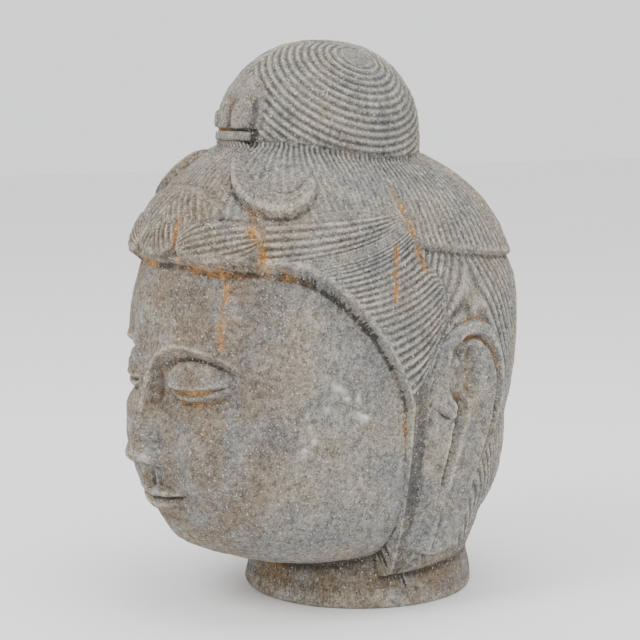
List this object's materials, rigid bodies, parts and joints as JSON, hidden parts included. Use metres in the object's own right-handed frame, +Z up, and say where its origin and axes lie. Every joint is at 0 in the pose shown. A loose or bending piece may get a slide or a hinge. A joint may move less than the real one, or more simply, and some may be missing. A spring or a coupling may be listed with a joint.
{
  "type": "stone buddha head",
  "caption": "Carved stone head of a calm Buddha with a domed topknot, combed hair, long ears and a short round neck, standing on its flat underside.",
  "frame": {"origin": "centre of the flat round underside of the neck, where the head stands", "axes": "+Z up through the head to the top of the topknot, the face looks along -Y, and the statue's left ear is at +X"},
  "size_m": [0.244, 0.3101, 0.4008],
  "materials": {
    "stone": "weathered grey limestone with speckled grain, pale worn ridges and brown and ochre dirt in the grooves"
  },
  "bodies": {
    "root": {"carved_head": "stone"}
  },
  "joints": []
}
